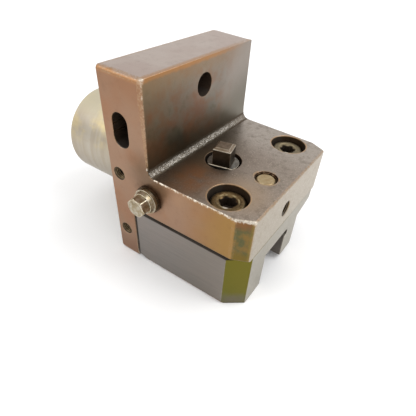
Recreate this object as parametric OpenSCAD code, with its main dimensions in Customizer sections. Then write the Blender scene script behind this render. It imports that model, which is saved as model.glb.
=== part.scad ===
// Turret tool holder with a round shank and a quick-change tool channel.
// Units are millimetres and +Z is up. The origin is on the shank's axis, in the plane of
// the plate's back face. +X runs from the plate towards the front of the arm, and the
// shank points to -X. +Y is the side away from the coolant plug.

/* [Body] */
// Width of the plate, arm and clamp block, across the shank axis
body_w = 66; // [64:1:74]
// Height of the plate's top above the shank axis
plate_top = 48; // [45:1:58]
// Depth of the plate's bottom below the shank axis
body_base = 32; // [31:0.5:38]
// Thickness of the plate above the arm
plate_t = 19; // [18:0.5:21]
// Thickness of the plate behind the clamp block
plate_low_t = 10; // [9:0.5:12]
// Distance from the plate's back face to the arm's front face
arm_reach = 62; // [61:1:74]
// Height of the arm's top above the shank axis
arm_top = 14; // [13:0.5:16]
// Thickness of the arm
arm_t = 19; // [17:0.5:21]
// Radius left in the corner between the plate and the arm
corner_r = 2.6; // [2:0.2:4]
// Length of the arm's corner chamfer along the arm
arm_corner_x = 6.3; // [4:0.1:7]
// Width of the arm's corner chamfer across the arm
arm_corner_y = 3; // [2:0.1:4]

/* [Shank] */
// Diameter of the shank
shank_d = 40; // [39:0.5:41]
// Length of the shank behind the plate
shank_len = 42; // [38:1:70]
// Chamfer at the rear end of the shank
shank_chamfer = 2; // [1:0.25:3]
// Diameter of the spigot that is shrunk into the plate
spigot_d = 21; // [19:0.5:22]
// Length of the spigot
spigot_len = 8; // [6:0.5:8.5]
// Distance from the shank axis to the toothed clamping flat
flat_y = 17.5; // [17:0.25:18.5]
// Length of the clamping flat, near the shank's rear end
flat_len = 15; // [12:0.5:16]
// Pitch of the teeth on the clamping flat
tooth_pitch = 3.2; // [3:0.1:3.4]
// Depth of the teeth
tooth_depth = 1.5; // [1:0.1:1.8]
// Diameter of the coolant bore
coolant_d = 8; // [6:0.5:8]

/* [Clamp block] */
// Height of the channel's axis line from the shank axis, across the body
channel_y = -5.3; // [-6:0.1:-4.5]
// Width of the tool channel
channel_w = 18.6; // [18:0.1:20]
// Height of the channel's roof, measured from the shank axis (negative is below)
channel_roof = -14; // [-14.5:0.1:-13.5]
// Distance that the far leg stops above the plate's bottom
far_leg_lift = 2; // [1:0.25:3]
// Outer side of the far leg, from the shank axis
far_leg_y = 15.2; // [14.5:0.1:16]
// Radius of the relief in the channel's upper corner
relief_r = 1.8; // [1.2:0.1:2]
// Length of the block's corner chamfer along the arm
block_corner_x = 8; // [6:0.1:9]
// Width of the block's corner chamfer across the arm
block_corner_y = 6; // [4:0.1:7]
// Gap between the plate and the back of the clamp block
block_gap = 0.6; // [0.3:0.1:1]

/* [Screws and pins] */
// Distance from the arm's front face back to the cap screws
screw_back = 14.5; // [14:0.25:16]
// Distance from each side of the arm in to the cap screws
screw_inset = 9; // [9:0.25:10]
// Diameter of the counterbores for the cap screws
counterbore_d = 15; // [14.5:0.1:15.4]
// Depth of the cap screw heads below the arm's top
head_sunk = 1.9; // [1:0.1:2.5]
// Diameter of the cap screw heads
head_d = 13; // [12.6:0.1:13.4]
// Diameter of the cap screw threads
screw_d = 8; // [7.6:0.1:8]
// Diameter of the locating pin
pin_d = 8; // [7.5:0.1:8.2]
// Distance from the arm's front face back to the locating pin
pin_back = 9.8; // [9.6:0.1:10.4]
// Diameter of the tapped hole for the lock screw in the arm's front face
lock_d = 6; // [5.8:0.1:6.4]
// Diameter of the fixing hole through the plate
fixing_d = 8.7; // [8.4:0.1:9]
// Diameter of the tapped holes in the plate's side
side_hole_d = 5; // [4.6:0.1:5.2]
// Width of the slot in the plate's side
slot_w = 7; // [6.5:0.1:7.5]
// Length of the slot in the plate's side
slot_len = 13; // [12:0.25:14]

/* [Clamp spindle] */
// Distance from the plate's back face to the spindle's axis
spindle_x = 33; // [32.8:0.1:33.4]
// Diameter of the hole through the arm for the spindle
spindle_hole_d = 14.5; // [14.2:0.1:14.8]
// Diameter of the spindle's journal
journal_d = 11; // [10.6:0.1:11.2]
// Width across the flats of the spindle's square head
square_af = 7.2; // [7:0.1:7.4]
// Height of the square head above the arm's top
square_up = 6.3; // [5:0.1:7]
// Angle that the square head is turned at when the clamp is open
square_turn = 15; // [0:1:45]
// Diameter of the spindle's threaded stem
stem_d = 9; // [8.6:0.1:9.2]
// Radial clearance of the journal in its bush, and of the stem in the shoe
run_gap = 0.05; // [0.02:0.01:0.1]
// Length of the clamp shoe along the channel
shoe_len = 24; // [23.5:0.25:24.5]
// Width of the clamp shoe across the channel
shoe_w = 14; // [13.5:0.1:14.2]
// Clearance on each side of the shoe in its window
shoe_gap = 0.1; // [0.05:0.01:0.15]

/* [Coolant plug] */
// Width across the flats of the plug's hexagon
plug_af = 7; // [6.5:0.1:7.6]
// Diameter of the plug's collar
plug_collar_d = 9.8; // [9.4:0.1:10.4]
// Height of the plug's axis above the shank axis
plug_z = 4.6; // [4.4:0.1:5]

/* [Hidden] */
$fn = 96;
eps = 0.5;
arm_under = arm_top - arm_t;
half_w = body_w / 2;
screw_x = arm_reach - screw_back;
screw_y = half_w - screw_inset;
head_h = 8;
head_seat = arm_top - head_sunk - head_h;
screw_len = 16;
pin_x = arm_reach - pin_back;
pin_sunk = 0.6;
channel_in = channel_y - channel_w / 2;
channel_out = channel_y + channel_w / 2;
block_back = plate_low_t + block_gap;
far_leg_base = far_leg_lift - body_base;
collar_r = 6.3;
collar_flat = 4.1;
washer_r = 6.9;
lock_sunk = 0.7;
collar_top = arm_top - 0.8;
collar_t = 3.2;
washer_t = 1.9;
shoulder_z = collar_top - collar_t;
bush_top = shoulder_z - washer_t;
bush_base = arm_under + 2.2;
clip_t = 1;
clip_top = bush_base - 0.1;
shoe_top = arm_under - 0.5;
shoe_base = channel_roof + 0.3;
pad_t = 2;
stem_tip = channel_roof + 3.6;
plug_x = plate_t + 0.2;
shank_screw_y = 8.5;
shank_screw_z = -14;
lock_y = channel_y + 1.8;
lock_z = arm_top - 11;
slot_x = 8;
slot_z = arm_top + 14;
fixing_z = arm_top + 24;
side_x = 4.4;
side_zs = [arm_top - 4.8, arm_top - 32.7];
ring_r = shank_d / 2 + 2.6;
flat_x = shank_chamfer + 2 - shank_len;
tooth_count = floor((flat_len - 1) / tooth_pitch);
tooth_x = flat_x + (flat_len - (tooth_count - 1) * tooth_pitch) / 2;

// Cylinder along +X, from x0 to x1, at height z and across position y.
module rod_x(d, x0, x1, y = 0, z = 0) {
    translate([x0, y, z]) rotate([0, 90, 0]) cylinder(d = d, h = x1 - x0);
}

// Cylinder along +Y, from y0 to y1.
module rod_y(d, y0, y1, x = 0, z = 0) {
    translate([x, y0, z]) rotate([-90, 0, 0]) cylinder(d = d, h = y1 - y0);
}

// Cylinder along +Z, from z0 to z1.
module rod_z(d, z0, z1, x = 0, y = 0) {
    translate([x, y, z0]) cylinder(d = d, h = z1 - z0);
}

// Straight cone from one diameter to another, along +Z, used for chamfered mouths.
module mouth_z(d0, d1, h, x, y, z) {
    translate([x, y, z]) cylinder(d1 = d0, d2 = d1, h = h);
}

// Outline seen from above: a rectangle whose two front corners are cut off.
module plan(x0, x1, cx, cy) {
    polygon([[x0, -half_w], [x1 - cx, -half_w], [x1, cy - half_w], [x1, half_w - cy],
             [x1 - cx, half_w], [x0, half_w]]);
}

// Hexagon socket sunk into a face, opening towards +Z, with its mouth at z = 0.
module socket(af, depth) {
    translate([0, 0, -depth]) cylinder(d = af / cos(30), h = depth + eps, $fn = 6);
}

// Plate and arm: one L-shaped steel block.
module holder_body() {
    color([0.55, 0.42, 0.33])
    difference() {
        intersection() {
            rotate([90, 0, 0]) linear_extrude(body_w, center = true) difference() {
                union() {
                    polygon([[0, -body_base], [plate_low_t, -body_base],
                             [plate_low_t, arm_under], [arm_reach, arm_under],
                             [arm_reach, arm_top], [plate_t, arm_top],
                             [plate_t, plate_top], [0, plate_top]]);
                    translate([plate_t - eps, arm_top - eps])
                        square([corner_r + eps, corner_r + eps]);
                }
                translate([plate_t + corner_r, arm_top + corner_r]) circle(r = corner_r);
            }
            translate([0, 0, -body_base - 1]) linear_extrude(plate_top + body_base + 2)
                plan(-1, arm_reach, arm_corner_x, arm_corner_y);
        }
        // counterbored holes for the two cap screws
        for (s = [-1, 1]) {
            rod_z(counterbore_d, head_seat, arm_top + eps, screw_x, s * screw_y);
            rod_z(screw_d + 1, arm_under - eps, head_seat + eps, screw_x, s * screw_y);
        }
        // through hole for the spindle and its bush
        rod_z(spindle_hole_d, arm_under - eps, arm_top + eps, spindle_x, channel_y);
        // locating pin hole with a chamfered mouth, and the blind holes for the dowels
        rod_z(pin_d + 0.04, arm_under - eps, arm_top + eps, pin_x, channel_y);
        mouth_z(pin_d + 0.04, pin_d + 1.24, 0.6, pin_x, channel_y, arm_top - 0.59);
        for (p = dowel_spots) rod_z(5, arm_under - eps, arm_under + 8, p[0], p[1]);
        // tapped hole in the arm's front face
        rod_x(lock_d, pin_x, arm_reach + eps, lock_y, lock_z);
        translate([arm_reach - 0.6, lock_y, lock_z]) rotate([0, 90, 0])
            cylinder(d1 = lock_d, d2 = lock_d + 1.2, h = 0.61);
        // fixing hole through the plate
        rod_x(fixing_d, -eps, plate_t + eps, 0, fixing_z);
        // slot and tapped holes in the plate's side
        translate([slot_x, -half_w - eps, slot_z]) rotate([-90, 0, 0]) linear_extrude(12 + eps)
            union() {
                square([slot_w, slot_len - slot_w], center = true);
                for (s = [-1, 1]) translate([0, s * (slot_len - slot_w) / 2]) circle(d = slot_w);
            }
        for (z = side_zs) {
            rod_y(side_hole_d, -half_w - eps, 10 - half_w, side_x, z);
            translate([side_x, -half_w - 0.01, z]) rotate([-90, 0, 0])
                cylinder(d1 = side_hole_d + 0.8, d2 = side_hole_d, h = 0.4);
        }
        // spigot bore, coolant drilling and the cross drilling to the plug
        rod_x(spigot_d, -eps, spigot_len + 0.2);
        rod_x(coolant_d - 1, spigot_len, plug_x + 3);
        rod_y(6.04, -half_w - eps, 13 - half_w, plug_x, plug_z);
        rod_y(4.4, 12 - half_w, 1, plug_x, plug_z);
        // counterbored holes for the screws and the dowel that hold the shank
        for (s = [-1, 1]) {
            rod_x(10.4, plate_low_t - 6, plate_low_t + eps, s * shank_screw_y, shank_screw_z);
            rod_x(6.4, -eps, plate_low_t, s * shank_screw_y, shank_screw_z);
        }
        rod_x(5, -eps, 7, 0, 15.5);
        // groove for the seal in the back face
        rotate([0, 90, 0]) rotate_extrude() translate([ring_r - 1.35, -eps])
            square([2.7, 2.5 + eps]);
    }
}

dowel_spots = [[30, 9 - half_w], [24, half_w - 11]];

// Ground shank with a spigot at the front and a toothed clamping flat on its far side.
module shank() {
    color([0.75, 0.73, 0.68])
    difference() {
        union() {
            rotate([0, 90, 0]) rotate_extrude() polygon([
                [0, -shank_len], [shank_d / 2 - shank_chamfer, -shank_len],
                [shank_d / 2, shank_chamfer - shank_len], [shank_d / 2, 0], [0, 0]]);
            rod_x(spigot_d, -eps, spigot_len);
        }
        rod_x(coolant_d, -shank_len - eps, spigot_len + eps);
        // clamping flat and its teeth
        translate([flat_x, flat_y, -shank_d / 2]) cube([flat_len, 10, shank_d]);
        for (i = [0 : tooth_count - 1])
            translate([tooth_x + i * tooth_pitch, flat_y, -shank_d / 2]) linear_extrude(shank_d)
                polygon([[-tooth_pitch * 0.42, 0.1], [tooth_pitch * 0.42, 0.1], [0.3, -tooth_depth],
                         [-0.3, -tooth_depth]]);
        // tapped holes, dowel hole and the groove for the inlet seal
        for (s = [-1, 1]) rod_x(6.02, -12.5, eps, s * shank_screw_y, shank_screw_z);
        rod_x(5, -8, eps, 0, 15.5);
        rotate([0, 90, 0]) rotate_extrude() translate([6.3, -shank_len - eps])
            square([2.2, 1.7 + eps]);
    }
}

// Hexagon-socket cap screw with its head's underside at z = 0 and its thread below.
module cap_screw(d, hd, hh, len, af) {
    difference() {
        union() {
            rotate_extrude() polygon([[0, 0], [hd / 2, 0], [hd / 2, hh - 0.6],
                                      [hd / 2 - 0.6, hh], [0, hh]]);
            translate([0, 0, -len]) rotate_extrude() polygon([
                [0, 0], [d / 2 - 0.7, 0], [d / 2, 0.7], [d / 2, len + 0.2], [0, len + 0.2]]);
        }
        translate([0, 0, hh]) socket(af, hh * 0.55);
    }
}

module shank_screws() {
    color([0.3, 0.29, 0.27])
    for (s = [-1, 1]) translate([plate_low_t - 6, s * shank_screw_y, shank_screw_z])
        rotate([0, 90, 0]) cap_screw(6, 10, 5.8, 15, 5);
}

module shank_dowel() {
    color([0.6, 0.6, 0.58]) rod_x(5, -7.5, 6.8, 0, 15.5);
}

module flange_oring() {
    color([0.08, 0.08, 0.08])
    translate([1.1, 0, 0]) rotate([0, 90, 0]) rotate_extrude() translate([ring_r, 0])
        circle(r = 1.3);
}

module inlet_oring() {
    color([0.08, 0.08, 0.08])
    translate([0.8 - shank_len, 0, 0]) rotate([0, 90, 0]) rotate_extrude()
        translate([7.4, 0]) circle(r = 0.9);
}

// Block under the arm, with a channel for the tool between a near leg and a far leg.
module clamp_block() {
    color([0.45, 0.44, 0.42])
    difference() {
        intersection() {
            translate([block_back, 0, 0]) rotate([90, 0, 90])
                linear_extrude(arm_reach - block_back) difference() {
                    polygon([
                        [1.1 - half_w, arm_under], [-half_w, arm_under - 1.1],
                        [-half_w, 0.8 - body_base], [0.8 - half_w, -body_base],
                        [channel_in - 0.5, -body_base], [channel_in, 0.5 - body_base],
                        [channel_in, channel_roof], [channel_out, channel_roof],
                        [channel_out, far_leg_base + 0.5], [channel_out + 0.5, far_leg_base],
                        [far_leg_y - 1, far_leg_base], [far_leg_y, far_leg_base + 1],
                        [far_leg_y, channel_roof + 1.2], [half_w - 6, arm_under - 4.4],
                        [half_w, arm_under - 3.2], [half_w, arm_under]]);
                    translate([channel_out + 0.4, channel_roof - relief_r]) circle(r = relief_r);
                }
            translate([0, 0, -body_base - 1]) linear_extrude(body_base + arm_under + 2)
                plan(0, arm_reach, block_corner_x, block_corner_y);
            // the lower back corner is cut off at a shallow slope
            rotate([90, 0, 0]) linear_extrude(body_w + 2, center = true)
                polygon([[block_back - 1, arm_under + 1], [arm_reach + 1, arm_under + 1],
                         [arm_reach + 1, -body_base - 1], [block_back + 6.5, -body_base - 1],
                         [block_back + 6, -body_base], [block_back - 1, 2.6 - body_base]]);
        }
        // tapped holes for the cap screws, and holes for the pins
        for (s = [-1, 1])
            rod_z(screw_d + 0.1, head_seat - screw_len - 0.4, arm_under + eps,
                  screw_x, s * screw_y);
        rod_z(pin_d + 0.04, channel_roof + 1.8, arm_under + eps, pin_x, channel_y);
        for (p = dowel_spots) rod_z(5, arm_under - 5.2, arm_under + eps, p[0], p[1]);
        // window for the clamp shoe
        translate([spindle_x - shoe_len / 2 - shoe_gap, channel_y - shoe_w / 2 - shoe_gap,
                   channel_roof - eps])
            cube([shoe_len + 2 * shoe_gap, shoe_w + 2 * shoe_gap,
                  arm_under - channel_roof + 2 * eps]);
    }
}

module cap_screws() {
    color([0.42, 0.37, 0.28])
    for (s = [-1, 1]) translate([screw_x, s * screw_y, head_seat])
        rotate([0, 0, 12]) cap_screw(screw_d, head_d, head_h, screw_len, 6);
}

module locating_pin() {
    color([0.6, 0.55, 0.46])
    translate([pin_x, channel_y, 0]) rotate_extrude() polygon([
        [0, channel_roof + 2], [pin_d / 2 - 0.6, channel_roof + 2],
        [pin_d / 2, channel_roof + 2.6], [pin_d / 2, arm_top - pin_sunk - 0.7],
        [pin_d / 2 - 0.7, arm_top - pin_sunk], [0, arm_top - pin_sunk]]);
}

module block_dowels() {
    color([0.6, 0.6, 0.58])
    for (p = dowel_spots) rod_z(5, arm_under - 5, arm_under + 7.8, p[0], p[1]);
}

module lock_screw() {
    color([0.35, 0.33, 0.3])
    translate([arm_reach - lock_sunk, lock_y, lock_z]) rotate([0, 90, 0]) difference() {
        translate([0, 0, -2.7]) cylinder(d = lock_d - 0.06, h = 2.7);
        socket(4, 1.8);
    }
}

module lock_tip() {
    color([0.7, 0.55, 0.25])
    rod_x(5, pin_x + pin_d / 2 + 0.05, arm_reach - lock_sunk - 2.7, lock_y, lock_z);
}

// Side view of the spindle's square, chamfered at the top.
module square_side() {
    w = square_af / 2;
    top = arm_top + square_up;
    polygon([[-w, shoulder_z - 0.3], [w, shoulder_z - 0.3], [w, top - 0.7],
             [w - 1, top], [1 - w, top], [-w, top - 0.7]]);
}

// Square-headed spindle: journal in the bush, clip groove and threaded stem below.
module clamp_spindle() {
    color([0.33, 0.3, 0.26])
    translate([spindle_x, channel_y, 0]) {
        rotate([0, 0, square_turn]) intersection() {
            rotate([90, 0, 0]) linear_extrude(square_af, center = true) square_side();
            rotate([90, 0, 90]) linear_extrude(square_af, center = true) square_side();
        }
        rotate_extrude() polygon([
            [0, stem_tip], [stem_d / 2 - 0.8, stem_tip], [stem_d / 2, stem_tip + 0.8],
            [stem_d / 2, clip_top - clip_t - 0.05], [4.7, clip_top - clip_t - 0.05],
            [4.7, clip_top], [journal_d / 2, clip_top], [journal_d / 2, shoulder_z],
            [0, shoulder_z]]);
    }
}

// Collar with one flat side, fitted on the square and turning with the spindle.
module spindle_collar() {
    color([0.62, 0.6, 0.56])
    translate([spindle_x, channel_y, shoulder_z]) rotate([0, 0, square_turn])
    linear_extrude(collar_t) difference() {
        intersection() {
            circle(r = collar_r);
            translate([-8, -collar_flat]) square([16, collar_flat + 8]);
        }
        square(square_af + 0.04, center = true);
    }
}

module spindle_washer() {
    color([0.6, 0.58, 0.54])
    translate([spindle_x, channel_y, bush_top]) linear_extrude(washer_t - 0.02) difference() {
        circle(r = washer_r);
        circle(r = journal_d / 2 + 0.1);
    }
}

module spindle_bush() {
    color([0.72, 0.54, 0.28])
    translate([spindle_x, channel_y, bush_base]) linear_extrude(bush_top - bush_base)
    difference() {
        circle(d = spindle_hole_d);
        circle(r = journal_d / 2 + run_gap);
    }
}

// Open spring clip in the spindle's groove, under the bush.
module spindle_clip() {
    color([0.3, 0.3, 0.3])
    translate([spindle_x, channel_y, clip_top - clip_t]) linear_extrude(clip_t - 0.02)
    difference() {
        circle(r = 6.8);
        circle(r = 4.72);
        translate([2, -2]) square([8, 4]);
    }
}

// Shoe that the spindle's stem drives down onto the tool.
module clamp_shoe() {
    color([0.4, 0.39, 0.37])
    translate([spindle_x, channel_y, 0]) difference() {
        translate([-shoe_len / 2, -shoe_w / 2, shoe_base])
            cube([shoe_len, shoe_w, shoe_top - shoe_base]);
        rod_z(stem_d + 2 * run_gap, stem_tip - 0.5, shoe_top + eps);
        translate([1 - shoe_len / 2, 1.5 - shoe_w / 2, shoe_base - eps])
            cube([shoe_len - 2, shoe_w - 3, pad_t + eps]);
        for (s = [-1, 1]) rod_z(3.02, shoe_base, shoe_base + 6.2, s * 8.5, 0);
    }
}

module shoe_pad() {
    color([0.5, 0.5, 0.5])
    translate([spindle_x, channel_y, shoe_base]) difference() {
        translate([1.05 - shoe_len / 2, 1.55 - shoe_w / 2, 0])
            cube([shoe_len - 2.1, shoe_w - 3.1, pad_t]);
        for (s = [-1, 1]) {
            rod_z(3.3, -eps, pad_t + eps, s * 8.5, 0);
            translate([s * 8.5, 0, -0.01]) cylinder(d1 = 5.72, d2 = 3.3, h = 1.2);
        }
    }
}

module pad_screws() {
    color([0.25, 0.25, 0.25])
    for (s = [-1, 1]) translate([spindle_x + s * 8.5, channel_y, shoe_base + 0.05])
        difference() {
            rotate_extrude() polygon([[0, 0], [2.7, 0], [1.5, 1.2], [1.5, 5.8], [0, 5.8]]);
            translate([0, 0, 1]) mirror([0, 0, 1]) translate([0, 0, 1]) socket(2, 1);
        }
}

// Plug with a hexagon and a collar, screwed into the coolant port.
module coolant_plug() {
    color([0.75, 0.68, 0.5])
    translate([plug_x, -half_w, plug_z]) rotate([90, 0, 0]) {
        translate([0, 0, -12]) cylinder(d = 6, h = 12 + 1.5);
        translate([0, 0, 1]) cylinder(d = plug_collar_d, h = 1.5);
        translate([0, 0, 2.2]) cylinder(d1 = plug_collar_d - 0.8, d2 = plug_af + 1.2, h = 1.9);
        intersection() {
            rotate([0, 0, 50]) cylinder(d = plug_af / cos(30), h = 7.6, $fn = 6);
            rotate_extrude() polygon([[0, 2], [plug_af, 2], [plug_af, 5.5],
                                      [plug_af / 2 - 0.2, 7.6], [0, 7.6]]);
        }
    }
}

module plug_washer() {
    color([0.6, 0.45, 0.3])
    translate([plug_x, -half_w, plug_z]) rotate([90, 0, 0]) linear_extrude(1) difference() {
        circle(d = plug_collar_d + 1);
        circle(d = 6.1);
    }
}

// Hexagon-socket grub screws sunk into the tapped holes of the plate's side.
module side_screws() {
    color([0.3, 0.3, 0.28])
    for (z = side_zs) translate([side_x, 3 - half_w, z]) rotate([90, 0, 0]) difference() {
        translate([0, 0, -6]) cylinder(d = side_hole_d - 0.06, h = 6);
        socket(2.5, 2.5);
    }
}

holder_body();
shank();
shank_screws();
shank_dowel();
flange_oring();
inlet_oring();
clamp_block();
cap_screws();
locating_pin();
block_dowels();
lock_screw();
lock_tip();
clamp_spindle();
spindle_collar();
spindle_washer();
spindle_bush();
spindle_clip();
clamp_shoe();
shoe_pad();
pad_screws();
coolant_plug();
plug_washer();
side_screws();
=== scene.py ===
import math

import bmesh
import bpy
from mathutils import Matrix, Vector


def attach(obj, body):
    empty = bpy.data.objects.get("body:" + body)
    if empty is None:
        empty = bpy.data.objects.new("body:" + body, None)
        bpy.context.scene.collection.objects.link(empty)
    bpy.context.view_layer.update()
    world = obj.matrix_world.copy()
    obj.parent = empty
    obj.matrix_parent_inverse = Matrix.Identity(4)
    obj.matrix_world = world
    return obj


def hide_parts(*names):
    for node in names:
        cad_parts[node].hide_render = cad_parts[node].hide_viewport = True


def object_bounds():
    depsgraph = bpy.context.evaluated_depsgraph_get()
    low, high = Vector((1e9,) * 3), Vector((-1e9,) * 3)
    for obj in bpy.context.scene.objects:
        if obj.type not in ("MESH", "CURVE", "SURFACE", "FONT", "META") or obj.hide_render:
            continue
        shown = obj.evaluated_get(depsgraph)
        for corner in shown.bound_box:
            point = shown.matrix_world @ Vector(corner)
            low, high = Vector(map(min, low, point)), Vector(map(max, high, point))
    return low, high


# Looks of a turret tool holder: an oxidised L-shaped steel body on a ground shank, with a
# clamp block, a square-headed spindle and their screws. Sizes here are in millimetres.

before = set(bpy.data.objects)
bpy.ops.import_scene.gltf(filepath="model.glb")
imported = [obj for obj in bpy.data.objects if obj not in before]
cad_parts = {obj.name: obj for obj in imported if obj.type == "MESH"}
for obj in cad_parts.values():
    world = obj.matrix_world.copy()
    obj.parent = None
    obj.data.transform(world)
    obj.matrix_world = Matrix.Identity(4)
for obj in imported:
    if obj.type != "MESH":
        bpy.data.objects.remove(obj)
cad_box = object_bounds()
MM = 0.001

# Sizes that the finishes and the added pieces share with the part.
HALF_W = 33.0
PLATE_TOP = 48.0
PLATE_T = 19.0
ARM_TOP = 14.0
ARM_REACH = 62.0
# Where the arm's corner chamfer starts along X, and ends along Y.
CHAMFER_X = 55.7
NOSE_Y = 30.0
CORNER_R = 2.6
SPINDLE = (33.0, -5.3)
SCREWS = [(47.5, -24.0), (47.5, 24.0)]
HEAD_SEAT = 4.1
HEAD_TOP = 12.1
HEAD_D = 13.0
PIN = (52.2, -5.3)
LOCK = (-3.5, 3.0)
LOCK_D = 6.0
FIXING_Z = 38.0
SIDE_X = 4.4
SIDE_ZS = [9.2, -18.7]
SIDE_D = 5.0
SLOT = (8.0, 28.0)
PLUG = (19.2, 4.6)


def tone(red, green, blue):
    """A colour named by its screen values, 0 to 255, as the linear colour that a shader takes."""
    def linear(v):
        v /= 255
        return v / 12.92 if v <= 0.04045 else ((v + 0.055) / 1.055) ** 2.4
    return (linear(red), linear(green), linear(blue), 1.0)


class Value:
    """What one socket gives, so that shader maths is written as plain sums."""

    def __init__(self, finish, socket):
        self.finish, self.socket = finish, socket

    def sum(self, operation, *terms):
        return self.finish.node("ShaderNodeMath", {"operation": operation}, dict(enumerate(terms)))

    def __add__(self, other):
        return self.sum("ADD", self, other)

    def __sub__(self, other):
        return self.sum("SUBTRACT", self, other)

    def __rsub__(self, other):
        return self.sum("SUBTRACT", other, self)

    def __mul__(self, other):
        return self.sum("MULTIPLY", self, other)

    def __abs__(self):
        return self.sum("ABSOLUTE", self)

    def least(self, other):
        return self.sum("MINIMUM", self, other)

    def most(self, other):
        return self.sum("MAXIMUM", self, other)

    __radd__, __rmul__ = __add__, __mul__


class Finish:
    """A metal or rubber finish: one Principled shader and the nodes that feed it."""

    def __init__(self, name, metallic=1.0, roughness=0.4, colour=(0.5, 0.5, 0.5, 1.0)):
        self.material = bpy.data.materials.new(name)
        self.material.use_nodes = True
        self.tree = self.material.node_tree
        self.tree.nodes.clear()
        self.shader = self.tree.nodes.new("ShaderNodeBsdfPrincipled")
        out = self.tree.nodes.new("ShaderNodeOutputMaterial")
        self.tree.links.new(self.shader.outputs[0], out.inputs[0])
        self.set("Metallic", metallic)
        self.set("Roughness", roughness)
        self.set("Base Color", colour)
        seat = self.node("ShaderNodeTexCoord", out="Object")
        self.place = self.vector("SCALE", seat, Scale=1000.0)
        self.x, self.y, self.z = self.split(self.place)
        self.nx, self.ny, self.nz = self.split(self.node("ShaderNodeTexCoord", out="Normal"))

    def node(self, kind, settings=None, sockets=None, out=0):
        made = self.tree.nodes.new(kind)
        for key, value in (settings or {}).items():
            if key == "stops":
                while len(made.color_ramp.elements) < len(value):
                    made.color_ramp.elements.new(0.5)
                for stop, (at, colour) in zip(made.color_ramp.elements, value):
                    stop.position, stop.color = at, colour
            else:
                setattr(made, key, value)
        for key, value in (sockets or {}).items():
            if isinstance(value, Value):
                self.tree.links.new(value.socket, made.inputs[key])
            else:
                made.inputs[key].default_value = value
        return Value(self, made.outputs[out])

    def set(self, name, value):
        if isinstance(value, Value):
            self.tree.links.new(value.socket, self.shader.inputs[name])
        else:
            self.shader.inputs[name].default_value = value

    def vector(self, operation, *terms, **named):
        sockets = dict(enumerate(terms)) | named
        scalar = operation in ("DOT_PRODUCT", "LENGTH", "DISTANCE")
        return self.node("ShaderNodeVectorMath", {"operation": operation}, sockets, int(scalar))

    def split(self, vector):
        made = self.node("ShaderNodeSeparateXYZ", sockets={0: vector}).socket.node
        return [Value(self, made.outputs[i]) for i in range(3)]

    def mix(self, amount, low, high):
        return self.node("ShaderNodeMix", {"data_type": "RGBA"}, {0: amount, 6: low, 7: high}, 2)

    def step(self, value, low, high):
        """0 below low and 1 above high, with a soft rise between. low may be the larger."""
        sockets = {0: value, 1: low, 2: high, 3: 0.0, 4: 1.0}
        if low > high:
            sockets |= {1: high, 2: low, 3: 1.0, 4: 0.0}
        return self.node("ShaderNodeMapRange", {"interpolation_type": "SMOOTHSTEP"}, sockets)

    def noise(self, size, detail=3.0, rough=0.55, stretch=None, shift=0.0, twist=0.0):
        """Cloudy noise, 0 to 1, whose blotches are about size millimetres across."""
        at = self.place
        if shift:
            at = self.vector("ADD", at, (shift, -1.7 * shift, 0.6 * shift))
        if stretch:
            at = self.vector("MULTIPLY", at, stretch)
        return self.node("ShaderNodeTexNoise", {"noise_dimensions": "3D"},
                         {"Vector": at, "Scale": 1.0 / size, "Detail": detail,
                          "Roughness": rough, "Distortion": twist})

    def edge(self, a, b):
        """Distance in millimetres to the straight edge from a to b."""
        along = Vector(b) - Vector(a)
        pull = self.vector("SUBTRACT", self.place, tuple(a))
        share = self.vector("DOT_PRODUCT", pull, tuple(along / along.length_squared))
        share = share.most(0.0).least(1.0)
        foot = self.vector("SCALE", tuple(along), Scale=share)
        return self.vector("DISTANCE", pull, foot)

    def upright(self, place, low, high):
        """Distance in millimetres to the upright axis at place, between two heights."""
        return self.edge((*place, high), (*place, low))

    def spot(self, centre, reach, soft=0.5):
        """1 near a point, fading to 0 at reach millimetres from it."""
        away = self.vector("DISTANCE", self.place, tuple(centre))
        return self.step(away, reach, reach * (1 - soft))

    def bump(self, height, strength=0.3, depth=0.05):
        """Height is in millimetres times depth."""
        normal = self.node("ShaderNodeBump", sockets={
            "Strength": strength, "Distance": depth * MM, "Height": height})
        self.set("Normal", normal)


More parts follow.
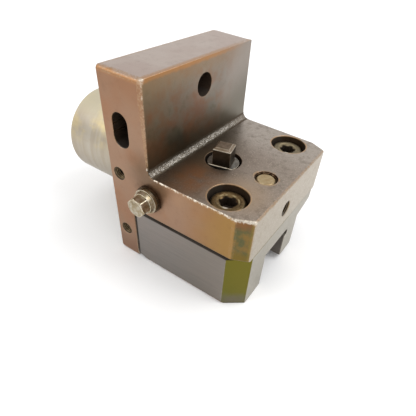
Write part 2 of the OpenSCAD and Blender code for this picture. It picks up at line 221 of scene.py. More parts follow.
def holder_finish(name, edge_wear=0.0):
    """Heat-coloured, handled steel: copper sides, mauve-grey tops and a bronze plate front."""
    f = Finish(name)
    cloud = f.noise(14, 3, 0.5)
    drift = f.noise(22, 2, 0.5, shift=40)
    mottle = f.noise(2.6, 4, 0.6, shift=9)
    grain = f.noise(0.35, 3, 0.6)
    speck = f.noise(0.16, 2, 0.6, shift=3)
    brush = f.noise(1.0, 4, 0.65, stretch=(0.12, 1.0, 2.6))

    # side faces
    side = f.mix(f.step(cloud, 0.35, 0.65), tone(150, 112, 86), tone(150, 120, 98))
    side = f.mix(f.step(drift, 0.45, 0.7) * 0.6, side, tone(164, 132, 106))
    side = f.mix(f.step(f.z, 30, 46) * 0.5, side, tone(140, 102, 76))
    side = f.mix(f.step(f.x + drift * 12, 36, 62) * 0.85, side, tone(150, 116, 62))
    side = f.mix(f.step(f.z, -16, -32) * 0.6, side, tone(126, 92, 72))
    side = f.mix(f.step(mottle, 0.5, 0.8) * 0.2, side, tone(120, 92, 72))
    side = f.mix(f.step(f.z, 45.6, 47.2) * 0.7, side, tone(176, 128, 84))
    # tops, orange-brown along their rounded edges
    top = f.mix(f.step(cloud, 0.3, 0.7), tone(172, 154, 144), tone(180, 166, 156))
    top = f.mix(f.step(mottle, 0.5, 0.75) * 0.4, top, tone(154, 138, 128))
    lip = f.step(f.z, 47.95, 47.5).most(f.step(f.y, -31.6, -32.4)) * f.step(f.z, 40, 44)
    top = f.mix(lip * f.step(cloud + mottle, 0.7, 1.1), top, tone(178, 128, 82))
    arm = f.mix(f.step(cloud, 0.3, 0.7), tone(132, 118, 106), tone(140, 126, 114))
    arm = f.mix(f.step(f.x - f.y * 0.3 + mottle * 8, 44, 60) * 0.5, arm, tone(158, 146, 134))
    arm = f.mix(f.step(f.y, 2, 22) * 0.8, arm, tone(170, 160, 150))
    arm = f.mix(f.spot((26, 3, 14), 16, 0.9) * 0.6, arm, tone(100, 90, 76))
    arm = f.mix(f.step(mottle, 0.46, 0.7) * 0.5, arm, tone(108, 96, 84))
    arm = f.mix(f.step(f.noise(0.5, 2, 0.5, shift=51), 0.58, 0.70) * 0.45, arm,
                tone(196, 184, 170))
    arm = f.mix(f.step(f.noise(0.8, 3, 0.6, shift=57), 0.56, 0.68) * 0.35, arm,
                tone(92, 96, 72))
    olive = f.spot((27, -10, 14), 15, 0.9)
    arm = f.mix(olive * 0.6, arm, tone(112, 96, 70))
    warm = f.spot((31, -23, 14), 15, 0.9) * f.step(f.noise(6, 3, 0.55, shift=5), 0.25, 0.65)
    arm = f.mix(warm * 0.8, arm, tone(160, 114, 76))
    arm = f.mix(f.spot((50, -20, 14), 16, 0.9) * 0.6, arm, tone(168, 142, 114))
    top = f.mix(f.step(f.z, 20, 15), top, arm)
    # plate front, with orange and rust patches low on its left
    front = f.mix(f.step(cloud, 0.35, 0.7), tone(126, 118, 108), tone(134, 126, 116))
    bronze = f.step(f.y + drift * 24, 20, -24)
    front = f.mix(bronze * 0.8, front, tone(114, 100, 76))
    front = f.mix(f.step(f.y + drift * 10 - f.z * 0.1, 8, 24) * 0.65, front,
                  tone(152, 142, 134))
    # painted shade: the plate front darkens towards the bottom
    low = f.step(f.z - f.y * 0.25 + drift * 10, 42, 22)
    front = f.mix(low * 0.55, front, tone(80, 78, 60))
    tarnish = f.noise(7, 4, 0.6, shift=61)
    front = f.mix(f.step(tarnish, 0.42, 0.66) * f.step(f.y, 26, 6) * 0.45, front,
                  tone(128, 88, 58))
    front = f.mix(f.step(tarnish, 0.44, 0.28) * f.step(f.y, 26, 6) * 0.45, front,
                  tone(88, 88, 68))
    rust = f.step(f.noise(11, 4, 0.55, shift=21), 0.38, 0.72) * f.step(f.z, 46, 26)
    front = f.mix(rust * f.step(f.y, 20, -4) * 0.5, front, tone(136, 80, 48))
    # painted shade: darker still low on the far side, by the arm
    front = f.mix(f.step(f.z + mottle * 8 + f.y * 0.15, 32, 20) * f.step(f.y, 30, 12) * 0.4,
                  front, tone(74, 70, 56))
    # painted reflection: lighter towards the top on the near side
    front = f.mix(f.step(f.z + mottle * 5, 41, 49) * f.step(f.y, 34, 6) * 0.5, front,
                  tone(146, 118, 88))
    # front of the arm
    nose = f.mix(f.step(brush, 0.35, 0.65), tone(166, 154, 138), tone(180, 172, 158))
    nose = f.mix(f.step(mottle, 0.5, 0.75) * 0.35, nose, tone(150, 134, 114))
    front = f.mix(f.step(f.z, 15, 13.4), front, nose)
    # corner chamfer, olive and brown in patches; the olive and green-grey tones are a painted
    # reflection, the brown is the steel's own
    corner = f.mix(f.step(f.noise(4, 3, 0.6, shift=12), 0.36, 0.62), tone(122, 98, 56),
                   tone(88, 88, 60))
    corner = f.mix(f.step(f.z + mottle * 3, 10, 14) * 0.8, corner, tone(122, 84, 56))
    corner = f.mix(f.step(f.z, 1, -3) * 0.8, corner, tone(110, 92, 40))
    corner = f.mix(f.step(f.x, 60.4, 61.4) * 0.6, corner, tone(126, 108, 56))

    side_on = f.step(abs(f.ny), 0.55, 0.8)
    top_on = f.step(f.nz, 0.5, 0.8)
    colour = f.mix(side_on, front, side)
    chamfer_on = f.step(f.x, 55.2, 55.9) * f.step(f.nx, 0.2, 0.32) * f.step(f.nx, 0.8, 0.6)
    colour = f.mix(chamfer_on, colour, corner)
    colour = f.mix(top_on, colour, top)
    hidden = f.step(f.nx, -0.5, -0.8).most(f.step(f.nz, -0.5, -0.8))
    colour = f.mix(hidden, colour, f.mix(mottle, tone(120, 108, 96), tone(156, 144, 130)))

    # fine dark specks and grain
    colour = f.mix(f.step(speck, 0.62, 0.72) * f.step(grain, 0.4, 0.6) * 0.45, colour,
                   tone(84, 70, 58))
    # painted shade in the corner by the plate, and a painted shadow ring round the coolant plug
    corner_shade = f.step(f.edge((PLATE_T, -40, ARM_TOP), (PLATE_T, 40, ARM_TOP))
                         + mottle * 6, 16, 4) * f.step(f.y, 30, 12)
    colour = f.mix(corner_shade * 0.55, colour, tone(66, 58, 44))
    # painted shadow: a dark ring round the coolant plug
    plug_shadow = f.edge((PLUG[0], -34, PLUG[1]), (PLUG[0], -32, PLUG[1])) + mottle * 4
    colour = f.mix(f.step(plug_shadow, 10, 6) * 0.55, colour, tone(96, 70, 50))

    # painted shade darkens the bores and slots
    def bore(a, b, reach):
        return f.step(f.edge(a, b), reach, reach - 0.12)
    dark = bore((SPINDLE[0], SPINDLE[1], 13.4), (SPINDLE[0], SPINDLE[1], -6), 7.4)
    for x, y in SCREWS:
        dark = dark.most(f.step(f.z, 13.75, 13.5) * bore((x, y, 20), (x, y, -6), 7.7))
    for z in SIDE_ZS:
        dark = dark.most(bore((SIDE_X, -32.7, z), (SIDE_X, -20, z), 2.75))
    holes = [bore((SLOT[0], -40, z), (SLOT[0], 40, z), 3.7)
             for z in (SLOT[1] - 3, SLOT[1] + 3, SLOT[1])]
    slot = holes[0].most(holes[1]).most(holes[2])
    dark = dark.most(slot * f.step(f.y, -32.8, -32.2) * f.step(f.y, -18, -20))
    dark = dark.most(bore((18.6, 0, FIXING_Z), (0.4, 0, FIXING_Z), 4.5))
    dark = dark.most(bore((61.5, LOCK[0], LOCK[1]), (50, LOCK[0], LOCK[1]), 3.3))
    colour = f.mix(dark * 0.9, colour, f.mix(mottle, tone(34, 26, 20), tone(62, 48, 36)))
    pin_axis = f.upright(PIN, 9, 20)
    # painted shade: a dark ring in the gap round the locating pin
    ring = f.step(pin_axis, 4.9, 4.6)
    colour = f.mix(ring * f.step(f.z, 13.98, 13.9) * f.step(f.z, 10, 11), colour,
                   tone(48, 35, 24))
    halo = f.step(abs(pin_axis - 5.0), 0.4, 0.1)
    colour = f.mix(halo * top_on * f.step(mottle, 0.4, 0.6) * 0.6, colour, tone(176, 146, 108))

    # golden rims
    rims = [f.step(abs(f.upright(at, -9, 20) - 7.75), 0.45, 0.1) for at in SCREWS]
    rim = rims[0].most(rims[1]) * f.step(f.z, 13.3, 13.7)
    colour = f.mix(rim * f.step(mottle, 0.3, 0.6) * 0.8, colour, tone(184, 150, 112))

    # orange band along the rounded top edge of the plate's front
    band = f.step(f.edge((PLATE_T, -HALF_W, PLATE_TOP), (PLATE_T, HALF_W, PLATE_TOP))
                  + mottle * 1.6, 2.8, 1.5) * f.step(f.y, 32, 2)
    colour = f.mix(band * 0.7, colour, tone(170, 120, 72))

    # worn bright edges, ragged on the near long edge of the arm
    chip = f.noise(0.9, 4, 0.7, shift=17)
    ragged = f.noise(0.45, 3, 0.7, shift=31)
    worn = f.step(f.edge((22, -HALF_W, ARM_TOP), (CHAMFER_X, -HALF_W, ARM_TOP))
                  + chip * 3.0 + mottle * 1.4, 2.75, 2.1)
    worn = worn.most(f.step(f.edge((CHAMFER_X, -HALF_W, ARM_TOP),
                                   (ARM_REACH, -NOSE_Y, ARM_TOP))
                            + chip * 2.6, 2.3, 1.5))
    worn = worn.most(f.step(f.edge((PLATE_T, -HALF_W, 25), (PLATE_T, -HALF_W, 47))
                            + chip * 1.6, 1.3, 0.8) * f.step(f.z, 22, 40) * 0.7)
    worn = worn.most(f.step(f.edge((21.5, -HALF_W, 15), (PLATE_T, -HALF_W, 17))
                            + chip * 1.0, 1.2, 0.6))
    # the bright spots at the corners are wear, and the one on the plate's top front corner is also
    # a painted highlight
    tips = f.spot((PLATE_T, -HALF_W, PLATE_TOP), 2.2, 0.8).most(
        f.spot((ARM_REACH, -NOSE_Y, ARM_TOP), 1.8, 0.8)).most(
        f.spot((ARM_REACH, NOSE_Y, ARM_TOP), 1.4, 0.8))
    worn = worn.most(tips * f.step(chip, 0.3, 0.6))
    dings = f.step(ragged, 0.70, 0.76) * f.step(chip, 0.56, 0.66) * top_on
    worn = worn.most(dings * 0.6)
    if edge_wear:
        # the other rounded edges are only rubbed to a golden brown
        rubbed = f.step(chip, 0.62, 0.42) * edge_wear
        golden = f.mix(f.step(ragged, 0.4, 0.65), tone(158, 124, 92), tone(180, 156, 128))
        rubbed = rubbed * (1 - f.step(f.x, 53, 55) * f.step(f.z, 13.0, 12.2) * 0.75)
        colour = f.mix(rubbed * (1 - dark) * 0.65, colour, golden)
        worn = worn.most(f.step(ragged, 0.60, 0.74) * 0.5 * top_on)
    worn = worn * (1 - dark) * f.step(f.upright(SPINDLE, 0, 20), 7.3, 8.3)
    colour = f.mix(worn, colour, f.mix(ragged, tone(190, 176, 156), tone(232, 226, 214)))

    f.set("Base Color", colour)
    rough = 0.30 + mottle * 0.10 + grain * 0.10 + dark * 0.25 - worn * 0.06
    rough = rough + f.step(f.nx, 0.7, 0.9) * f.step(f.z, 13, 15) * 0.03
    f.set("Roughness", rough)
    f.set("Metallic", 1.0 - dark * 0.25)
    f.bump(grain * 0.5 + mottle * 0.6 + brush * 0.25 + speck * 0.3 - worn * chip * 1.2,
           0.35, 0.06)
    return f.material


def block_finish(name, edge_wear=0.0):
    """Ground grey steel, brushed along the block, with olive corners and lighter ends that are
    painted reflections, and painted shade inside its channel and along its joint line.
    """
    f = Finish(name)
    cloud = f.noise(16, 3, 0.5, shift=7)
    brush = f.noise(1.2, 4, 0.65, stretch=(0.08, 1.0, 2.4))
    grain = f.noise(0.3, 3, 0.6)
    blot = f.noise(3.4, 4, 0.6, shift=2)
    side = f.mix(f.step(cloud, 0.3, 0.7), tone(132, 127, 122), tone(136, 128, 122))
    side = f.mix(f.step(f.x, 20, 50) * 0.6, side, tone(126, 118, 108))
    side = f.mix(f.step(brush, 0.4, 0.7) * 0.35, side, tone(116, 110, 106))
    # painted reflection: the ends take a lighter tone for the pale table they reflect
    front = f.mix(f.step(brush, 0.3, 0.7), tone(156, 150, 138), tone(172, 167, 156))
    front = f.mix(f.step(blot, 0.5, 0.75) * 0.4, front, tone(150, 142, 126))
    # painted reflection: olive on the block's front chamfer, yellower towards the bottom
    olive = f.mix(f.step(f.z + blot * 3, -23, -27), tone(106, 99, 36), tone(108, 101, 82))
    olive = f.mix(f.step(cloud, 0.4, 0.65) * 0.4, olive, tone(92, 94, 36))
    colour = f.mix(f.step(abs(f.ny), 0.55, 0.8), front, side)
    corner = f.step(f.x, 53.4, 54.2) * f.step(f.nx, 0.3, 0.45) * f.step(f.nx, 0.9, 0.75)
    colour = f.mix(corner * f.step(f.y, 4, 2), colour, olive)
    under = f.step(f.nz, -0.5, -0.8)
    colour = f.mix(under, colour, tone(120, 112, 104))
    stain = f.step(f.edge((10, -33, -32), (54, -33, -32)) + blot * 2, 2.6, 1.2)
    colour = f.mix(stain * 0.5, colour, tone(150, 118, 96))
    # painted shade: the inside of the channel is darkened
    throat_shade = f.step(f.z, -13, -13.8).least(f.step(f.y, -15.2, -14.5)).least(
        f.step(f.y, 4.6, 3.9)) * f.step(f.x, 61.9, 61.2)
    colour = f.mix(throat_shade * 0.6, colour, tone(70, 62, 54))
    # painted shade: dark lines where the block meets the holder body
    seam_shade = f.step(f.z, -6.4, -5.9).most(f.step(f.x, 11.5, 11.0))
    colour = f.mix(seam_shade * f.step(f.y, -31, -31.6) * 0.95, colour, tone(30, 25, 21))
    worn = f.step(grain * 0.6 + blot * 0.4, 0.5, 0.38) * edge_wear * (1 - seam_shade)
    colour = f.mix(worn * 0.4, colour, tone(186, 180, 168))
    f.set("Base Color", colour)
    f.set("Roughness", 0.34 + brush * 0.12 + blot * 0.06)
    f.set("Metallic", 1.0 - throat_shade * 0.5)
    f.bump(brush * 0.7 + grain * 0.4, 0.3, 0.03)
    return f.material


def shank_finish():
    """Cylindrically ground steel with fine rings and a straw-coloured film."""
    f = Finish("ground_shank")
    rings = f.noise(0.5, 3, 0.7, stretch=(1.0, 0.03, 0.03))
    broad = f.noise(3.0, 3, 0.6, stretch=(1.0, 0.08, 0.08), shift=6)
    film = f.noise(12, 4, 0.6, shift=11)
    streak = f.noise(5, 3, 0.55, stretch=(0.35, 1.0, 1.0), shift=2)
    colour = f.mix(f.step(broad, 0.3, 0.7), tone(176, 168, 154), tone(166, 155, 138))
    colour = f.mix(f.step(film, 0.42, 0.62) * f.step(f.z, 0, 10) * 0.7, colour,
                   tone(206, 188, 138))
    colour = f.mix(f.step(streak, 0.5, 0.72) * 0.35, colour, tone(162, 146, 124))
    colour = f.mix(f.step(rings, 0.55, 0.75) * 0.15, colour, tone(214, 208, 198))
    colour = f.mix(f.step(f.x, -28, -41) * 0.3, colour, tone(160, 148, 134))
    colour = f.mix(f.step(f.z + f.noise(7, 2, 0.5) * 8, 6, -4) * f.step(f.x, -8, -20) * 0.15,
                   colour, tone(138, 124, 104))
    # painted highlight: lighter along the top of the shank
    colour = f.mix(f.step(f.z, 12, 18) * 0.6, colour, tone(220, 210, 180))
    rear = f.step(f.x, -39.6, -40.4)
    colour = f.mix(rear * 0.5, colour, tone(178, 156, 132))
    f.set("Base Color", colour)
    f.set("Roughness", 0.30 + rings * 0.10 + film * 0.08)
    f.bump(rings * 0.5 + broad * 0.1, 0.2, 0.02)
    return f.material


def plain_steel(name, low, high, rough=0.35, size=2.0, dirt=None, amount=0.5, metallic=1.0,
                sides=None):
    """Steel with two mottled tones, a film of dirt and a fine grain. Its upright faces may
    have a tone of their own."""
    f = Finish(name, metallic=metallic)
    blot = f.noise(size, 4, 0.6, shift=4)
    grain = f.noise(size / 8, 3, 0.6)
    colour = f.mix(f.step(blot, 0.3, 0.7), low, high)
    if dirt:
        patch = f.noise(size * 2, 4, 0.65, shift=13)
        colour = f.mix(f.step(patch, 0.45, 0.65) * amount, colour, dirt)
    if sides:
        colour = f.mix(f.step(f.nz, 0.35, 0.2) * 0.85, colour, sides)
    f.set("Base Color", colour)
    f.set("Roughness", rough + blot * 0.12 + grain * 0.06)
    f.bump(grain * 0.5 + blot * 0.5, 0.3, 0.03)
    return f.material


def screw_finish():
    """Oxidised cap screws: golden-brown faces, sockets darkened by painted shade, bright socket
    mouths and a painted highlight at the front edge of each socket.
    """
    f = Finish("cap_screw_steel")
    blot = f.noise(1.6, 4, 0.62, shift=8)
    grain = f.noise(0.2, 3, 0.6)
    gold = f.mix(f.step(blot, 0.35, 0.65), tone(112, 92, 62), tone(78, 61, 40))
    away = f.upright(SCREWS[0], 0, 16).least(f.upright(SCREWS[1], 0, 16))
    rim = f.step(away, 5.4, 5.9) * f.step(f.z, 11.2, 11.5)
    gold = f.mix(rim * 0.5, gold, tone(150, 136, 106))
    mouth = f.step(abs(away - 3.9), 0.5, 0.15) * f.step(f.z, 11.2, 11.5)
    gold = f.mix(mouth * f.step(blot, 0.4, 0.6) * 0.8, gold, tone(176, 158, 120))
    gold = f.mix(f.step(f.y, -2, 2) * 0.5, gold, tone(138, 130, 108))
    # painted highlight: a bright glint on each head by its socket
    painted_glint = f.spot((48.4, -27.2, 12.0), 1.3, 0.6).most(f.spot((48.5, 20.6, 12.0), 1.0, 0.6))
    gold = f.mix(painted_glint, gold, tone(226, 216, 198))
    # painted shade: the sockets are darkened
    socket = f.step(away, 3.75, 3.5) * f.step(f.z, 11.75, 11.35)
    below = f.step(f.z, 11.0, 10.6) * f.step(away, 6.0, 6.2)
    dark = socket.most(below)
    gold = f.mix(dark * 0.92, gold, tone(44, 33, 24))
    f.set("Base Color", gold)
    f.set("Roughness", 0.34 + blot * 0.14 + dark * 0.2)
    f.set("Metallic", 1.0 - dark * 0.4)
    f.bump(grain * 0.6 + blot * 0.6, 0.4, 0.05)
    return f.material


def rubber_finish():
    f = Finish("seal_rubber_black", metallic=0.0)
    grain = f.noise(0.25, 3, 0.6)
    f.set("Base Color", f.mix(grain, tone(18, 18, 18), tone(38, 37, 36)))
    f.set("Roughness", 0.55 + grain * 0.2)
    f.bump(grain, 0.3, 0.03)
    return f.material


def casting_finish():
    """Grey, coarse-grained skin of the corner between the plate and the arm."""
    f = Finish("corner_grit")
    lump = f.noise(0.9, 4, 0.7, shift=19)
    grit = f.noise(0.3, 3, 0.7, shift=23)
    colour = f.mix(f.step(lump, 0.35, 0.65), tone(66, 58, 46), tone(120, 112, 100))
    colour = f.mix(f.step(grit, 0.52, 0.62), colour, tone(226, 222, 214))
    middle = f.edge((PLATE_T + 0.8, -40, ARM_TOP + 0.8), (PLATE_T + 0.8, 40, ARM_TOP + 0.8))
    colour = f.mix(f.step(middle + lump * 1.2, 1.3, 2.0), colour,
                   f.mix(grit, tone(52, 45, 35), tone(88, 78, 64)))
    ends = f.step(abs(f.y + 4), 40, 12)
    colour = f.mix((1 - ends) * 0.35, colour, tone(116, 100, 86))
    f.set("Base Color", colour)
    f.set("Roughness", 0.42 + lump * 0.15)
    f.set("Metallic", 0.9)
    f.bump(grit + lump, 0.5, 0.15)
    return f.material


# ---------------------------------------------------------------- pieces

def new_object(name, mesh):
    made = bpy.data.objects.new(name, mesh)
    bpy.context.scene.collection.objects.link(made)
    return made


def seat(made, body, slot, *stands_for):
    """The piece rides with a body, and may stand for CAD nodes. The slot argument is not used."""
    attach(made, body)
    if stands_for:
        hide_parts(*stands_for)
    return made


def apply_modifiers(made):
    graph = bpy.context.evaluated_depsgraph_get()
    mesh = bpy.data.meshes.new_from_object(made.evaluated_get(graph))
    made.modifiers.clear()
    made.data = mesh
    return made


def eased_copy(node, width, name, finishes, least_angle=35, small=0.35, segments=2,
               share=None):
    """A copy of a CAD node whose outer edges are rounded over, width millimetres on the
    straight ones and a share of that round the holes. The rounded strips take the second
    finish. share may give, for an edge's middle in millimetres, its own part of width."""
    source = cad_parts[node]
    work = bmesh.new()
    work.from_mesh(source.data)
    bmesh.ops.remove_doubles(work, verts=work.verts, dist=2e-6)
    bmesh.ops.dissolve_limit(work, angle_limit=math.radians(0.6), verts=work.verts,
                             edges=work.edges)
    weight = work.edges.layers.float.new("bevel_weight_edge")
    for face in work.faces:
        face.smooth = True
        face.material_index = 0
    for line in work.edges:
        if len(line.link_faces) != 2:
            continue
        angle = line.calc_face_angle_signed(0.0)
        long = line.calc_length() > 2.2 * MM
        if angle > math.radians(least_angle):
            middle = (line.verts[0].co + line.verts[1].co) / (2 * MM)
            line[weight] = (share(middle) if share else 1.0) if long else small
        elif long and angle > math.radians(22):
            line[weight] = 0.6
        if abs(angle) > math.radians(22 if long else 28):
            line.smooth = False
    mesh = bpy.data.meshes.new(name)
    work.to_mesh(mesh)
    work.free()
    made = new_object(name, mesh)
    for finish in finishes:
        mesh.materials.append(finish)
    bevel = made.modifiers.new("Eased edges", "BEVEL")
    bevel.width = width * MM
    bevel.segments = segments
    bevel.limit_method = "WEIGHT"
    bevel.use_clamp_overlap = False
    bevel.material = len(finishes) - 1
    flat = made.modifiers.new("Flat faces", "WEIGHTED_NORMAL")
    flat.keep_sharp = True
    return apply_modifiers(made)


def turned(name, rings, steps=72, place=(0, 0, 0), turn=None):
    """A closed piece turned about its own axis. Each ring is (radius, height), and the
    radius may be a function of the angle. A radius of 0 closes an end in a point."""
    work = bmesh.new()
    rows = []
    for radius, height in rings:
        if radius == 0:
            rows.append([work.verts.new((0, 0, height))])
            continue
        row = []
        for i in range(steps):
            a = 2 * math.pi * i / steps
            r = radius(a) if callable(radius) else radius
            row.append(work.verts.new((r * math.cos(a), r * math.sin(a), height)))
        rows.append(row)
    for low, high in zip(rows, rows[1:]):
        for i in range(steps):
            j = (i + 1) % steps
            if len(low) == 1:
                work.faces.new((low[0], high[j], high[i]))
            elif len(high) == 1:
                work.faces.new((low[i], low[j], high[0]))
            else:
                work.faces.new((low[i], low[j], high[j], high[i]))
    if len(rows[0]) > 1 and rows[0] is not rows[-1]:
        pass
    bmesh.ops.recalc_face_normals(work, faces=work.faces)
    shift = Matrix.Translation(Vector(place) * MM)
    work.transform(shift @ (turn or Matrix.Identity(4)) @ Matrix.Scale(MM, 4))
    for face in work.faces:
        face.smooth = True
    for line in work.edges:
        if len(line.link_faces) == 2 and line.calc_face_angle(0) > math.radians(32):
            line.smooth = False
    mesh = bpy.data.meshes.new(name)
    work.to_mesh(mesh)
    work.free()
    return new_object(name, mesh)


def join(name, parts):
    """Several meshes as one piece."""
    work = bmesh.new()
    for part in parts:
        work.from_mesh(part.data)
        bpy.data.objects.remove(part)
    mesh = bpy.data.meshes.new(name)
    work.to_mesh(mesh)
    work.free()
    return new_object(name, mesh)


class Grower:
    """A geometry node tree with named inputs. Its result becomes a plain mesh."""

    def __init__(self, name):
        self.tree = bpy.data.node_groups.new(name, "GeometryNodeTree")
        self.tree.interface.new_socket("Geometry", in_out="INPUT",
                                       socket_type="NodeSocketGeometry")
        self.tree.interface.new_socket("Geometry", in_out="OUTPUT",
                                       socket_type="NodeSocketGeometry")
        self.source = self.tree.nodes.new("NodeGroupInput")
        self.sink = self.tree.nodes.new("NodeGroupOutput")
        self.values = {}

    def size(self, name, value, kind="NodeSocketFloat"):
        self.tree.interface.new_socket(name, in_out="INPUT", socket_type=kind)
        self.values[name] = value
        return self.source.outputs[name]

    def node(self, kind, settings=None, sockets=None, out=0):
        made = self.tree.nodes.new(kind)
        for key, value in (settings or {}).items():
            setattr(made, key, value)
        for key, value in (sockets or {}).items():
            if isinstance(value, bpy.types.NodeSocket):
                self.tree.links.new(value, made.inputs[key])
            else:
                made.inputs[key].default_value = value
        return made.outputs[out]

    def maths(self, operation, *terms):
        return self.node("ShaderNodeMath", {"operation": operation}, dict(enumerate(terms)))

    def grow(self, name, shape, finish):
        real = self.node("GeometryNodeRealizeInstances", sockets={0: shape})
        painted = self.node("GeometryNodeSetMaterial", sockets={"Geometry": real,
                                                                "Material": finish})
        self.tree.links.new(painted, self.sink.inputs[0])
        made = new_object(name, bpy.data.meshes.new(name))
        grown = made.modifiers.new("Grown", "NODES")
        grown.node_group = self.tree
        for item in self.tree.interface.items_tree:
            if item.in_out == "INPUT" and item.name in self.values:
                grown[item.identifier] = self.values[item.name]
        return apply_modifiers(made)


def thread_ridge(name, radius, pitch, turns, ridge, place, lean, finish):
    """The ridge of a screw thread, wound about an axis."""
    g = Grower(name)
    coil = g.node("GeometryNodeCurveSpiral", sockets={
        "Resolution": 40, "Rotations": g.size("Turns", turns),
        "Start Radius": g.size("Radius", radius * MM), "End Radius": radius * MM,
        "Height": g.maths("MULTIPLY", g.size("Pitch", pitch * MM), turns), "Reverse": False})
    level = g.node("GeometryNodeSetCurveNormal", sockets={0: coil})
    level.node.mode = "Z_UP"
    profile = g.node("GeometryNodeCurvePrimitiveCircle", {"mode": "RADIUS"}, {
        "Resolution": 4, "Radius": g.size("Ridge", ridge * MM)})
    shape = g.node("GeometryNodeCurveToMesh", sockets={
        "Curve": level, "Profile Curve": profile, "Fill Caps": True})
    shape = g.node("GeometryNodeSetShadeSmooth", sockets={0: shape, "Shade Smooth": False})
    shape = g.node("GeometryNodeTransform", sockets={
        "Geometry": shape, "Translation": g.size("Place", tuple(v * MM for v in place),
                                                 "NodeSocketVector"),
        "Rotation": tuple(math.radians(v) for v in lean)})
    return g.grow(name, shape, finish)


def corner_skin(finish):
    """Coarse skin over the rounded corner between the plate's front and the arm's top."""
    g = Grower("corner_skin")
    grid = g.node("GeometryNodeMeshGrid", sockets={
        "Size X": 1.0, "Size Y": 1.0, "Vertices X": 300, "Vertices Y": 18})
    at = g.node("GeometryNodeInputPosition")
    parts = g.tree.nodes.new("ShaderNodeSeparateXYZ")
    g.tree.links.new(at, parts.inputs[0])
    run = g.maths("MULTIPLY", parts.outputs[0], g.size("Length", 65.6 * MM))
    turn = g.maths("MULTIPLY_ADD", parts.outputs[1], math.pi / 2, 1.25 * math.pi)
    spot = g.node("ShaderNodeCombineXYZ", sockets={0: parts.outputs[0], 1: parts.outputs[1],
                                                   2: 0.0})
    spread = g.node("ShaderNodeVectorMath", {"operation": "MULTIPLY"},
                    {0: spot, 1: (65.6, 5.0, 1.0)})
    lumps = g.node("ShaderNodeTexNoise", {"noise_dimensions": "4D"}, {
        "Vector": spread, "W": g.size("Seed", 7.0), "Scale": 1.35, "Detail": 4.0,
        "Roughness": 0.7})
    fade = g.maths("SUBTRACT", 1.0, g.maths("POWER", g.maths(
        "MULTIPLY", g.maths("ABSOLUTE", parts.outputs[1]), 2.0), 4.0))
    rise = g.maths("MULTIPLY", g.maths("MULTIPLY", g.maths("SUBTRACT", lumps, 0.36),
                                       g.size("Height", 0.9 * MM)), fade)
    reach = g.maths("SUBTRACT", (CORNER_R - 0.03) * MM, rise)
    x = g.maths("MULTIPLY_ADD", reach, g.maths("COSINE", turn), (PLATE_T + CORNER_R) * MM)
    z = g.maths("MULTIPLY_ADD", reach, g.maths("SINE", turn), (ARM_TOP + CORNER_R) * MM)
    spot = g.node("ShaderNodeCombineXYZ", sockets={0: x, 1: run, 2: z})
    shape = g.node("GeometryNodeSetPosition", sockets={"Geometry": grid, "Position": spot})
    shape = g.node("GeometryNodeSetShadeSmooth", sockets={0: shape})
    return g.grow("corner_skin", shape, finish)


def head_ribs(finish):
    """Straight knurls round the heads of the two cap screws."""
    g = Grower("head_ribs")
    ring = g.node("GeometryNodeMeshCircle", sockets={
        "Vertices": 64, "Radius": g.size("Radius", (HEAD_D / 2 - 0.1) * MM)})
    rib = g.node("GeometryNodeMeshCube", sockets={
        "Size": g.size("Rib", (0.26 * MM, 0.26 * MM, 6.2 * MM), "NodeSocketVector")})
    at = g.node("GeometryNodeInputPosition")
    turn = g.node("FunctionNodeAlignRotationToVector", {"axis": "X"}, {"Vector": at})
    around = g.node("GeometryNodeInstanceOnPoints", sockets={
        "Points": ring, "Instance": rib, "Rotation": turn})
    pair = g.node("GeometryNodeMeshLine", {"mode": "OFFSET", "count_mode": "TOTAL"}, {
        "Count": 2, "Start Location": (SCREWS[0][0] * MM, SCREWS[0][1] * MM, 7.6 * MM),
        "Offset": (0, (SCREWS[1][1] - SCREWS[0][1]) * MM, 0)})
    both = g.node("GeometryNodeInstanceOnPoints", sockets={"Points": pair, "Instance": around})
    return g.grow("head_ribs", both, finish)


def lobes(mean, rise, start=0.0):
    """The outline of a worn six-sided socket."""
    return lambda a: mean + rise * math.cos(6 * (a - start))


# ---------------------------------------------------------------- finishes

oxide = holder_finish("oxide_steel_body")
oxide_edge = holder_finish("oxide_steel_edge", edge_wear=0.9)
block = block_finish("grey_block")
block_edge = block_finish("grey_block_edge", edge_wear=0.8)
ground = shank_finish()
screw = screw_finish()
grit = casting_finish()
rubber = rubber_finish()
black = plain_steel("black_steel", tone(52, 44, 36), tone(74, 64, 52), 0.36, 1.8,
                    tone(96, 78, 52), 0.5)
spindle_side = plain_steel("spindle_black", tone(150, 134, 118), tone(120, 104, 88), 0.36,
                           1.8, tone(104, 88, 66), 0.5, sides=tone(46, 38, 28))
# painted highlight: the spindle's rounded edges take this bright finish
spindle_edge_highlight = plain_steel("spindle_edge_highlight", tone(170, 160, 144), tone(204, 194, 176), 0.32,
                           0.8, tone(110, 96, 76), 0.6, sides=tone(84, 74, 60))
# painted highlight: the collar's rounded edges take this bright finish
bright_edge = plain_steel("collar_edge_highlight", tone(196, 182, 158), tone(226, 216, 198), 0.3, 0.8,
                          tone(120, 104, 84), 0.6)
collar = plain_steel("collar_grey", tone(122, 118, 112), tone(148, 144, 136), 0.34, 1.5,
                     tone(84, 76, 66), 0.5)
pin = plain_steel("pin_straw", tone(178, 160, 126), tone(162, 140, 104), 0.36, 1.4,
                  tone(148, 120, 84), 0.5)
thread = plain_steel("thread_steel", tone(128, 112, 86), tone(88, 72, 52), 0.36, 0.8,
                     tone(60, 46, 34), 0.6)
bronze = plain_steel("bush_bronze", tone(178, 140, 84), tone(150, 112, 62), 0.36, 1.6,
                     tone(96, 68, 40), 0.5)
nickel = plain_steel("plug_nickel", tone(176, 168, 152), tone(144, 128, 98), 0.28, 1.6,
                     tone(110, 90, 58), 0.6)
nickel_edge = plain_steel("plug_nickel_edge", tone(228, 220, 202), tone(206, 194, 166), 0.22,
                          1.0, tone(150, 130, 94), 0.4)
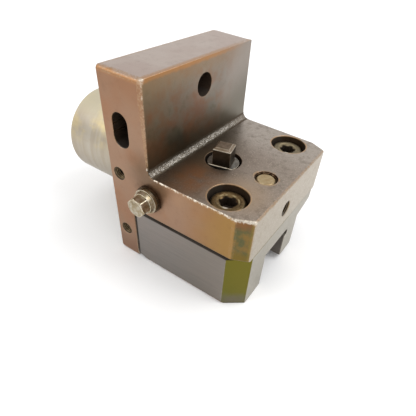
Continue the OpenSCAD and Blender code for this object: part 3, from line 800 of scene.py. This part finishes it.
copper = plain_steel("washer_copper", tone(96, 76, 56), tone(74, 58, 44), 0.4, 1.2,
                     tone(46, 36, 28), 0.6)

# ---------------------------------------------------------------- the holder



def holder_share(middle):
    """The plate is rounded over by the full width, the arm by less, the slot's edges hardly."""
    if abs(middle.x - SLOT[0]) < 4 and abs(middle.z - SLOT[1]) < 8:
        return 0.12
    return 1.0 if middle.z > 14.5 or middle.x < 1 else 0.45


body = eased_copy("holder_body", 1.8, "body_block", [oxide, oxide_edge], small=0.12,
                  segments=4, share=holder_share)
seat(body, "holder", "oxide_steel", "holder_body")
under = eased_copy("clamp_block", 0.22, "clamp_block_ground", [block, block_edge])
seat(under, "holder", "block_steel", "clamp_block")
seat(corner_skin(grit), "holder", "oxide_steel")
arbor = eased_copy("shank", 0.4, "ground_arbor", [ground, ground])
seat(arbor, "holder", "ground_steel", "shank")

heads = []
for n, (x, y) in enumerate(SCREWS):
    h = HEAD_TOP - HEAD_SEAT
    star = lobes(3.02, 0.3, math.radians(18 + 8 * n))
    wide = lobes(3.35, 0.14, math.radians(18 + 8 * n))
    heads.append(turned("cap_screw_head", [
        (0, -16.0), (3.3, -16.0), (4.0, -15.3), (4.0, 0.02), (HEAD_D / 2 - 0.12, 0.0),
        (HEAD_D / 2 - 0.12, h - 0.75), (HEAD_D / 2 - 0.3, h - 0.45),
        (HEAD_D / 2 - 0.7, h - 0.12), (HEAD_D / 2 - 0.95, h - 0.02),
        (HEAD_D / 2 - 1.3, h), (4.55, h), (4.4, h - 0.03), (4.25, h - 0.16),
        (4.1, h - 0.18), (3.75, h - 0.2), (wide, h - 0.3), (star, h - 0.7),
        (star, h - 4.3), (2.2, h - 4.5), (0, h - 5.6)], 96, (x, y, HEAD_SEAT)))
heads = join("cap_screw_bodies", heads)
heads.data.materials.append(screw)
seat(heads, "holder", "screw_steel", "cap_screws")
seat(head_ribs(screw), "holder", "screw_steel")

plug = eased_copy("coolant_plug", 0.22, "plug_body", [nickel, nickel_edge], 20)
seat(plug, "holder", "plated", "coolant_plug")
pin_copy = eased_copy("locating_pin", 0.15, "pin_body", [pin, pin])
seat(pin_copy, "holder", "pin_steel", "locating_pin")
lock = eased_copy("lock_screw", 0.12, "lock_body", [black, thread])
seat(lock, "holder", "dark_steel", "lock_screw")

for n, z in enumerate(SIDE_ZS):
    ridge = thread_ridge(f"side_thread_{n}", SIDE_D / 2 + 0.02, 0.8, 3.4, 0.27,
                         (SIDE_X, -HALF_W + 0.35, z), (-90, 0, 0), thread)
    seat(ridge, "holder", "oxide_steel")
ridge = thread_ridge("lock_thread", LOCK_D / 2 + 0.12, 0.8, 1.5, 0.3,
                     (60.35, LOCK[0], LOCK[1]), (0, 90, 0), collar)
seat(ridge, "holder", "oxide_steel")

# ---------------------------------------------------------------- the clamp

spindle = eased_copy("clamp_spindle", 0.2, "spindle_body", [spindle_side, spindle_edge_highlight])
seat(spindle, "spindle", "dark_steel", "clamp_spindle")
ring = eased_copy("spindle_collar", 0.22, "collar_body", [collar, bright_edge])
seat(ring, "spindle", "collar_steel", "spindle_collar")

carried = {
    "shank_screws": black, "shank_dowel": pin, "flange_oring": rubber, "inlet_oring": rubber,
    "block_dowels": pin, "lock_tip": bronze, "spindle_washer": collar, "spindle_bush": bronze,
    "spindle_clip": black, "clamp_shoe": block, "shoe_pad": pin, "pad_screws": black,
    "plug_washer": copper, "side_screws": black}
for node, finish in carried.items():
    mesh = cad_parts[node].data
    mesh.materials.clear()
    mesh.materials.append(finish)

# ---------------------------------------------------------------- floor, light, camera

bpy.ops.mesh.primitive_plane_add(size=8, location=(0, 0, cad_box[0].z - 0.0001))
floor = bpy.context.object
floor.name = "table_top"
paper = Finish("pale_table", metallic=0.0, roughness=0.9, colour=(0.97, 0.97, 0.97, 1))
floor.data.materials.append(paper.material)

world = bpy.data.worlds.new("soft_room")
bpy.context.scene.world = world
world.use_nodes = True
sky = world.node_tree.nodes["Background"]
sky.inputs[0].default_value = (1, 1, 1, 1)
sky.inputs[1].default_value = 1.0


def soft_box(name, place, size, power, aim=(20, 0, 0)):
    lamp = bpy.data.lights.new(name, "AREA")
    lamp.shape = "RECTANGLE"
    lamp.size, lamp.size_y = size[0] * MM, size[1] * MM
    lamp.energy = power
    made = bpy.data.objects.new(name, lamp)
    made.location = Vector(place) * MM
    made.rotation_mode = "QUATERNION"
    made.rotation_quaternion = (Vector(aim) - Vector(place)).to_track_quat("-Z", "Y")
    bpy.context.scene.collection.objects.link(made)


soft_box("key", (500, 250, 800), (450, 450), 3)
soft_box("fill", (-350, -500, 500), (400, 400), 1)

scene = bpy.context.scene
scene.view_settings.view_transform = "Standard"
lens = bpy.data.cameras.new("camera")
camera = bpy.data.objects.new("camera", lens)
scene.collection.objects.link(camera)
lens.sensor_width = 36
lens.lens = 30.63
lens.shift_x, lens.shift_y = -0.0585, 0.0455
lens.clip_start, lens.clip_end = 0.01, 20
right = Vector((0.841295, 0.532199, 0.094798))
up = Vector((-0.418563, 0.530335, 0.737258))
back = Vector((0.342093, -0.659931, 0.668927))
turn = Matrix((right, up, back)).transposed().to_4x4()
camera.matrix_world = Matrix.Translation(Vector((94.449, -109.060, 87.785)) * MM) @ turn
scene.camera = camera
